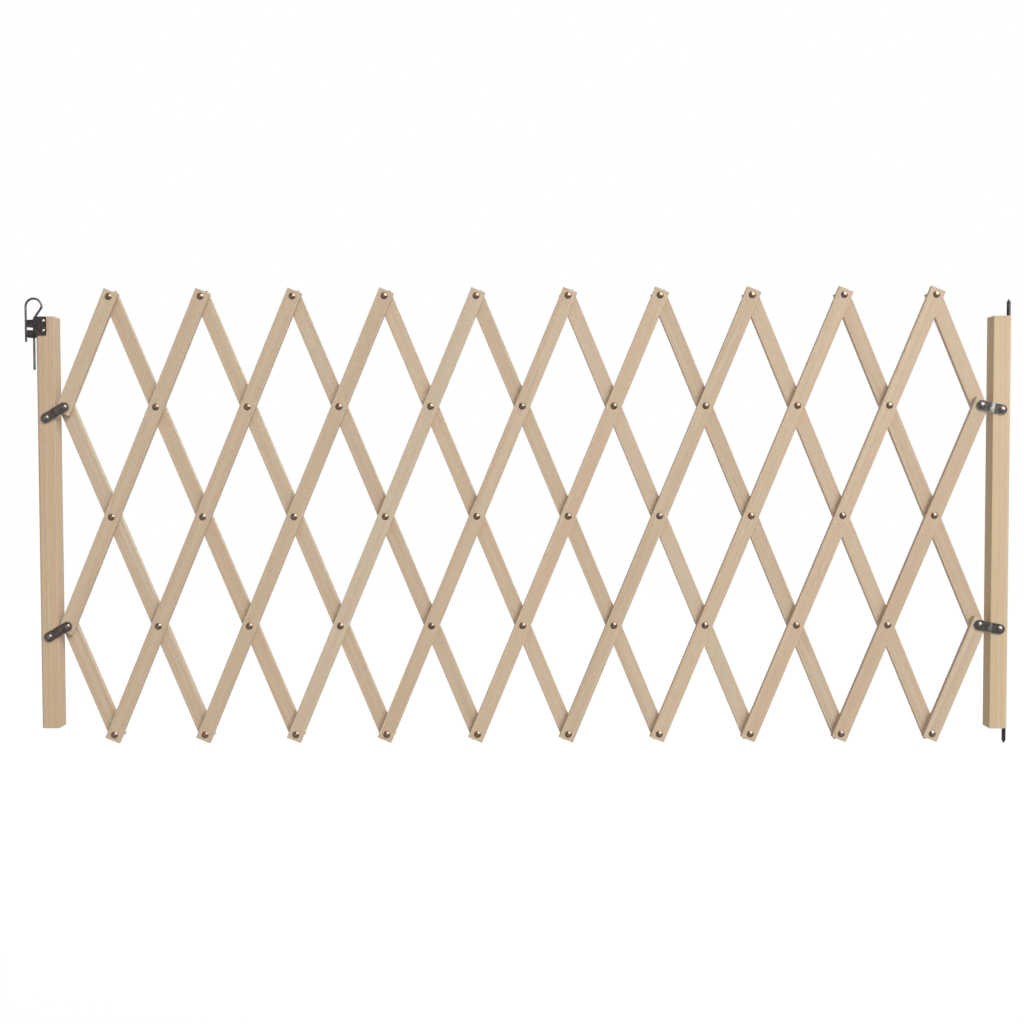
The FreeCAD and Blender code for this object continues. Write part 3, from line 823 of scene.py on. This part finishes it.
@dataclass(frozen=True)
class SteelFinish:
    """A steel skin with its own tones and gloss, and its own wear and painted highlights."""

    dark: str
    warm: str
    bare_and_highlight: str
    smooth: float
    dull: float
    relief: float = 0.00003
    rub: RubKind = RubKind.NONE
    rub_strength: float = 0.5
    lacquer: float = 0.0
    lacquer_roughness: float = 0.16
    crown_facing: float = 0.86
    strip_link: float = 0.0335
    strip_width: float = 0.0155
    strip_reach: float = 0.0011
    # Where the painted highlight band across a bend lies along the strap, and how far it spreads.
    highlight_band_at: float = 0.0012
    highlight_band_reach: float = 0.005
    edge_share: float = 0.22

    def material(self, name: str, centre: Vector = Vector(), turn: float = 0.0) -> Material:
        """Make the finish for one piece or one row of like pieces.

        Args:
            name: The material's name.
            centre: The middle of the piece, where its rub needs it.
            turn: The piece's turn about the depth axis.

        Returns:
            The material.
        """
        sheet = PieceSheet(name, centre, turn)
        skin = BRONZED.place(
            sheet,
            Vector=sheet.local,
            Dark=linear(self.dark),
            Warm=linear(self.warm),
            Bare=linear(self.bare_and_highlight),
            Rub=self.rubbed(sheet),
            Smooth=self.smooth,
            Dull=self.dull,
        )
        return sheet.shaded(
            skin.outputs["Color"],
            skin.outputs["Roughness"],
            skin.outputs["Height"],
            self.relief,
            Metallic=1.0,
            Coat_Weight=self.lacquer,
            Coat_Roughness=self.lacquer_roughness,
        )

    def rubbed(self, sheet: PieceSheet) -> Source:
        """Say where the piece shows its brighter tone, which is rubbed wear on some finishes and
        painted highlight on others.

        Args:
            sheet: The material's sheet.

        Returns:
            A mask's socket, or a plain number where nothing is rubbed.
        """
        if self.rub is RubKind.NONE:
            return 0.0
        # A front-facing crown takes the brighter tone: partly rubbed wear and partly painted highlight
        # on the rivets, painted highlight on the screws.
        if self.rub is RubKind.CROWN_WEAR_AND_HIGHLIGHT:
            facing = sheet.vector("DOT_PRODUCT", sheet.normal, FRONT).outputs["Value"]
            crown = sheet.spread(facing, self.crown_facing, 1.0)
            return sheet.math("MULTIPLY", crown, self.rub_strength)
        rim = STRIP_EDGE.place(
            sheet,
            Vector=sheet.local,
            Half_Link=self.strip_link / 2.0,
            Half_Width=self.strip_width / 2.0,
            Reach=self.strip_reach,
        ).outputs["Mask"]
        # On the hinge straps a bright band across the bend is painted highlight, standing in for light
        # caught by the joggle; the rim keeps a little rubbed wear.
        if self.rub is RubKind.BEND_HIGHLIGHT:
            along = sheet.parts(sheet.local)[0]
            highlight_band_distance = sheet.math("ABSOLUTE", sheet.math("SUBTRACT", along, self.highlight_band_at))
            rim = sheet.math("MULTIPLY", rim, self.edge_share)
            rim = sheet.math("MAXIMUM", rim, sheet.spread(highlight_band_distance, self.highlight_band_reach, 0.0))
        return sheet.math("MULTIPLY", rim, self.rub_strength)


SLAT_WOOD = WoodFinish(
    pale="CCBBA1",
    tan="B19573",
    blush="C4A68F",
    end="9D866A",
    rubbed="D8CEBC",
    ring_spacing=0.0031,
)
LATCH_POST_WOOD = WoodFinish(
    pale="CAB79A",
    tan="AE9270",
    blush="C8A68C",
    end="9D866A",
    rubbed="D2C8B6",
    ring_spacing=0.0036,
    rub_reach=0.0016,
    rub_strength=0.08,
)
HINGE_POST_WOOD = replace(
    LATCH_POST_WOOD, pale="D3C09E", tan="B59A74", blush="D0AE92", end="A38C6C", rubbed="DCD0BC"
)
# The rivets' brighter crown is partly rubbed wear and partly painted highlight.
RIVET_BRONZE = SteelFinish(
    dark="38281A",
    warm="5E4A36",
    bare_and_highlight="B8AA98",
    smooth=0.2,
    dull=0.3,
    rub=RubKind.CROWN_WEAR_AND_HIGHLIGHT,
    rub_strength=0.15,
    lacquer=0.8,
)
STRAP_RIVET_BRONZE = replace(
    RIVET_BRONZE, dark="2E2623", warm="4E443E", bare_and_highlight="B4AEA8", smooth=0.26, dull=0.4
)
LATCH_STRAP_STEEL = SteelFinish(
    dark="332B27",
    warm="514742",
    bare_and_highlight="A39A92",
    smooth=0.2,
    dull=0.36,
    rub=RubKind.STRIP,
    lacquer=0.3,
)
# The pale band across the hinge straps' bend is painted highlight, not wear.
HINGE_STRAP_HIGHLIGHT_STEEL = SteelFinish(
    dark="393838",
    warm="4F4D4C",
    bare_and_highlight="D8D6D0",
    smooth=0.2,
    dull=0.3,
    relief=0.00001,
    rub=RubKind.BEND_HIGHLIGHT,
    rub_strength=0.9,
)
# The lower hinge strap has a dimmer painted highlight band across its bend.
WEAKER_HIGHLIGHT_STRAP_STEEL = replace(HINGE_STRAP_HIGHLIGHT_STEEL, bare_and_highlight="9A9490", rub_strength=0.55)
PIN_STEEL = SteelFinish(dark="2A2A28", warm="3C3B38", bare_and_highlight="8C8A84", smooth=0.3, dull=0.48)
LATCH_STEEL = SteelFinish(dark="2B2728", warm="423C3C", bare_and_highlight="8E8884", smooth=0.26, dull=0.44)
WIRE_STEEL = SteelFinish(
    dark="42423F", warm="555451", bare_and_highlight="A8A6A0", smooth=0.36, dull=0.46, relief=0.00001
)
# The screw heads' bright crown against a darker rim is painted highlight.
SCREW_ZINC = SteelFinish(
    dark="5C5854",
    warm="7A7570",
    bare_and_highlight="E4E0DA",
    smooth=0.18,
    dull=0.34,
    rub=RubKind.CROWN_WEAR_AND_HIGHLIGHT,
    rub_strength=0.8,
)


def dress(node: str, finish: Material) -> None:
    """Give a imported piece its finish.

    Args:
        node: The piece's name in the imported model.
        finish: The material for all of its surface.
    """
    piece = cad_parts[node]
    if not piece.material_slots:
        piece.data.materials.append(finish)
    for slot in piece.material_slots:
        slot.material = finish
    log.info("dressed %s with %s", node, finish.name)


def nodes_named(start: str) -> list[str]:
    """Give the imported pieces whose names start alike, in order."""
    return sorted(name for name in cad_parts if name.startswith(start))


@dataclass(frozen=True)
class SlatLayer:
    """One layer of the lattice: twelve slats that lean the same way."""

    prefix: str
    lean: Lean
    seed: int
    end_margin: float
    finish: WoodFinish = SLAT_WOOD
    angle: float = math.radians(22.6)
    width: float = 0.0235
    thickness: float = 0.010
    pith_near: float = 0.022
    pith_far: float = 0.075
    pith_behind_share: float = 0.5

    def pith(self, seed: int) -> Vector:
        """Choose where one slat's pith lay, behind it or beside it.

        Args:
            seed: The slat's own number.

        Returns:
            The way to the pith from the slat's middle line.
        """
        draw = random.Random(seed)
        depth = draw.uniform(self.pith_near, self.pith_far)
        side = draw.uniform(-self.pith_near, self.pith_near)
        if draw.random() < self.pith_behind_share:
            return Vector((side, depth, 0.0))
        return Vector((depth, side, 0.0))

    def lay(self, node: str, seed: int) -> TimberLay:
        """Find how one slat lies and choose how it was cut.

        Args:
            node: The slat's name.
            seed: The slat's own number.

        Returns:
            The slat's lay.
        """
        low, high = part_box(node)
        length = (high.z - low.z - self.width * math.sin(self.angle)) / math.cos(self.angle)
        steps = round((length - 2.0 * self.end_margin) / self.finish.pitch)
        return TimberLay(
            centre=(low + high) / 2.0,
            turn=self.lean.value * self.angle,
            half=Vector((self.width, self.thickness, length)) / 2.0,
            seed=seed,
            pith=self.pith(seed),
            pivot_phase=0.0 if steps % 2 == 0 else self.finish.pitch / 2.0,
        )

    def build(self) -> None:
        """Dress every slat of the layer."""
        for number, node in enumerate(nodes_named(self.prefix)):
            lay = self.lay(node, self.seed + number)
            dress(node, self.finish.material(f"{node}_wood", lay))


@dataclass(frozen=True)
class Post:
    """One square post."""

    node: str
    finish: WoodFinish
    seed: int
    pith: Vector = Vector((0.012, 0.041, 0.0))

    def build(self) -> None:
        """Dress the post along its own box."""
        low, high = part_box(self.node)
        lay = TimberLay(
            centre=(low + high) / 2.0,
            turn=Lean.UPRIGHT.value,
            half=(high - low) / 2.0,
            seed=self.seed,
            pith=self.pith,
        )
        dress(self.node, self.finish.material(f"{self.node}_wood", lay))


@dataclass(frozen=True)
class Strap:
    """One joggled strap between the lattice and a post."""

    node: str
    finish: SteelFinish
    tilt: float

    def build(self) -> None:
        """Dress the strap about its own middle line."""
        low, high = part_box(self.node)
        middle = (low + high) / 2.0
        dress(self.node, self.finish.material(f"{self.node}_steel", middle, self.tilt))


@dataclass(frozen=True)
class Hardware:
    """The rivets, pivot pins and latch pieces, which keep one finish for each kind."""

    rivet: SteelFinish = RIVET_BRONZE
    strap_rivet: SteelFinish = STRAP_RIVET_BRONZE
    pin: SteelFinish = PIN_STEEL
    bracket: SteelFinish = LATCH_STEEL
    wire: SteelFinish = WIRE_STEEL
    screw: SteelFinish = SCREW_ZINC

    def build(self) -> None:
        """Dress the small steel pieces."""
        rivet = self.rivet.material("rivet_bronze")
        for node in nodes_named("slat_rivets_"):
            dress(node, rivet)
        strap_rivet = self.strap_rivet.material("strap_rivet_bronze")
        for end in ("latch", "hinge"):
            for level in ("upper", "lower"):
                dress(f"{end}_{level}_strap_rivet", strap_rivet)
                dress(f"{end}_{level}_post_rivet", strap_rivet)
            dress(f"{end}_lower_post_peg", strap_rivet)
        pin = self.pin.material("pin_steel")
        dress("lower_pivot_pin", pin)
        dress("upper_pivot_pin", pin)
        dress("latch_bracket", self.bracket.material("latch_steel"))
        dress("latch_pin", self.wire.material("wire_steel"))
        dress("latch_screws", self.screw.material("screw_zinc"))


LATCH_TILT = math.radians(-29.5)
HINGE_TILT = math.radians(12.0)
PIECES = (
    SlatLayer("front_slat_", Lean.RIGHT, seed=11, end_margin=0.0095),
    SlatLayer("back_slat_", Lean.LEFT, seed=41, end_margin=0.0065),
    Post("latch_post", LATCH_POST_WOOD, seed=71),
    Post("hinge_post", HINGE_POST_WOOD, seed=72),
    Strap("latch_upper_strap", LATCH_STRAP_STEEL, tilt=LATCH_TILT),
    Strap("latch_lower_strap", LATCH_STRAP_STEEL, tilt=LATCH_TILT),
    Strap("hinge_upper_strap", HINGE_STRAP_HIGHLIGHT_STEEL, tilt=HINGE_TILT),
    Strap("hinge_lower_strap", WEAKER_HIGHLIGHT_STRAP_STEEL, tilt=HINGE_TILT),
    Hardware(),
)


@dataclass(frozen=True)
class PhotoCamera:
    """A camera where the photograph was taken from."""

    place: Vector
    focal_pixels: float
    pitch: float
    yaw: float
    roll: float
    reach: float = 60.0

    def axes(self) -> Matrix:
        """Work out where the camera's own axes point.

        Returns:
            A turn whose columns are the camera's right, its top and its back.
        """
        ahead = Vector(
            (
                math.sin(self.yaw) * math.cos(self.pitch),
                math.cos(self.yaw) * math.cos(self.pitch),
                -math.sin(self.pitch),
            )
        )
        right = Vector((math.cos(self.yaw), -math.sin(self.yaw), 0.0))
        top = right.cross(ahead)
        turned_right = math.cos(self.roll) * right + math.sin(self.roll) * top
        turned_top = math.cos(self.roll) * top - math.sin(self.roll) * right
        return Matrix((turned_right, turned_top, -ahead)).transposed()

    def build(self) -> None:
        """Set the camera up and look through it."""
        data = bpy.data.cameras.new("gate_camera")
        data.sensor_width = SENSOR_WIDTH
        data.lens = SENSOR_WIDTH * self.focal_pixels / PHOTO_SIDE
        data.clip_end = self.reach
        camera = bpy.data.objects.new("gate_camera", data)
        camera.matrix_world = Matrix.Translation(self.place) @ self.axes().to_4x4()
        bpy.context.scene.collection.objects.link(camera)
        bpy.context.scene.camera = camera


@dataclass(frozen=True)
class Sun:
    """A far lamp, by where its light comes from and how wide it looks from the gate."""

    name: str
    source: Vector
    level: float
    angle: float
    reach: float = 3.0

    def build(self) -> None:
        """Hang the lamp."""
        data = bpy.data.lights.new(self.name, "SUN")
        data.energy = self.level
        data.angle = self.angle
        lamp = bpy.data.objects.new(self.name, data)
        lamp.location = MIDDLE + self.source * self.reach
        lamp.rotation_euler = self.source.to_track_quat("Z", "Y").to_euler()
        bpy.context.scene.collection.objects.link(lamp)


class PanelShape(Enum):
    """The outline of a flat lamp."""

    SQUARE = "SQUARE"
    ROUND = "DISK"


@dataclass(frozen=True)
class Panel:
    """A flat lamp that shines on the middle of the gate and stays out of the picture."""

    name: str
    shape: PanelShape
    place: Vector
    power: float
    size: float
    on_matt: bool = True
    in_gloss: bool = True

    def build(self) -> None:
        """Stand the lamp up."""
        data = bpy.data.lights.new(self.name, "AREA")
        data.shape = self.shape.value
        data.energy = self.power
        data.size = self.size
        lamp = bpy.data.objects.new(self.name, data)
        lamp.location = self.place
        lamp.rotation_euler = (self.place - MIDDLE).to_track_quat("Z", "Y").to_euler()
        lamp.visible_camera = False
        lamp.visible_diffuse = self.on_matt
        lamp.visible_glossy = self.in_gloss
        bpy.context.scene.collection.objects.link(lamp)


# Fitted to the rivets, the posts' corners and the pivot pins in the photograph.
CAMERA = PhotoCamera(
    place=Vector((-0.7642, -1.95, 0.4115)),
    focal_pixels=1250.6,
    pitch=math.radians(2.086),
    yaw=math.radians(-0.177),
    roll=math.radians(-0.13),
)
LAMPS = (
    Sun("key", Vector((0.52, -0.62, 0.59)), level=1.72, angle=math.radians(26.0)),
    Sun("fill", Vector((-0.1, -0.96, 0.25)), level=0.42, angle=math.radians(65.0)),
    Sun("back", Vector((0.2, 0.86, 0.47)), level=1.5, angle=math.radians(40.0)),
    # The side panel brightens the wood towards the hinge post, and the card shows only in gloss.
    Panel(
        "side",
        PanelShape.SQUARE,
        Vector((0.45, -1.6, 0.9)),
        power=4.8,
        size=0.8,
        in_gloss=False,
    ),
    Panel(
        "card",
        PanelShape.ROUND,
        Vector((1.3, -1.3, 2.7)),
        power=560.0,
        size=5.2,
        on_matt=False,
    ),
)


@dataclass(frozen=True)
class Studio:
    """The photograph's camera and soft light from the right, over a pale floor."""

    sky_level: float = 0.37
    floor_height: float = -1.25
    floor_half: float = 14.0
    floor_shade: float = 0.6
    floor_glow: float = 0.46

    def build(self) -> None:
        """Set up the camera, the light and the floor."""
        CAMERA.build()
        for lamp in LAMPS:
            lamp.build()
        self.sky()
        self.floor()
        bpy.context.scene.view_settings.view_transform = "Standard"

    def seen(self, sheet: NodeSheet) -> Socket:
        """Pick out the rays that show the background itself.

        Args:
            sheet: The sheet of the world's or the floor's shader.

        Returns:
            One for camera, glossy and transmission rays, and nothing for the rest.
        """
        rays = sheet.put("ShaderNodeLightPath").outputs
        bounced = sheet.math("MAXIMUM", rays["Is Glossy Ray"], rays["Is Transmission Ray"])
        return sheet.math("MAXIMUM", rays["Is Camera Ray"], bounced)

    def sky(self) -> None:
        """Light all round evenly, and show plain white behind the gate."""
        world = bpy.data.worlds.new("studio")
        world.use_nodes = True
        sheet = NodeSheet(world.node_tree)
        light = sheet.put("ShaderNodeBackground")
        light.inputs["Color"].default_value = WHITE
        light.inputs["Strength"].default_value = self.sky_level
        backdrop = sheet.put("ShaderNodeBackground")
        backdrop.inputs["Color"].default_value = WHITE
        backdrop.inputs["Strength"].default_value = 1.0
        choice = sheet.put("ShaderNodeMixShader")
        sheet.feed(choice.inputs[0], self.seen(sheet))
        sheet.feed(choice.inputs[1], light.outputs[0])
        sheet.feed(choice.inputs[2], backdrop.outputs[0])
        out = sheet.put("ShaderNodeOutputWorld")
        sheet.feed(out.inputs["Surface"], choice.outputs[0])
        bpy.context.scene.world = world

    def floor_finish(self) -> Material:
        """Make the floor's plain matt finish, which glows a little where it is seen.

        Returns:
            The material.
        """
        made = bpy.data.materials.new("studio_floor")
        made.use_nodes = True
        sheet = NodeSheet(made.node_tree)
        matt = sheet.put("ShaderNodeBsdfDiffuse")
        matt.inputs["Color"].default_value = (self.floor_shade, self.floor_shade, self.floor_shade, 1.0)
        glow = sheet.put("ShaderNodeEmission")
        level = sheet.math("MULTIPLY", self.seen(sheet), self.floor_glow)
        sheet.feed(glow.inputs["Strength"], level)
        both = sheet.put("ShaderNodeAddShader")
        sheet.feed(both.inputs[0], matt.outputs[0])
        sheet.feed(both.inputs[1], glow.outputs[0])
        out = sheet.put("ShaderNodeOutputMaterial")
        sheet.feed(out.inputs["Surface"], both.outputs[0])
        return made

    def floor(self) -> None:
        """Lay a plain pale floor well below the hung gate."""
        shape = bmesh.new()
        bmesh.ops.create_grid(shape, x_segments=1, y_segments=1, size=self.floor_half)
        bmesh.ops.translate(shape, verts=shape.verts, vec=(MIDDLE.x, 0.0, self.floor_height))
        mesh = bpy.data.meshes.new("studio_floor")
        shape.to_mesh(mesh)
        shape.free()
        mesh.materials.append(self.floor_finish())
        floor = bpy.data.objects.new("studio_floor", mesh)
        bpy.context.scene.collection.objects.link(floor)


def main() -> None:
    """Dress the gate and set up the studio."""
    logging.basicConfig(level=logging.INFO, format="%(name)s: %(message)s")
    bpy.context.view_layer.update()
    for piece in PIECES:
        piece.build()
    Studio().build()


if __name__ == "__main__":
    main()
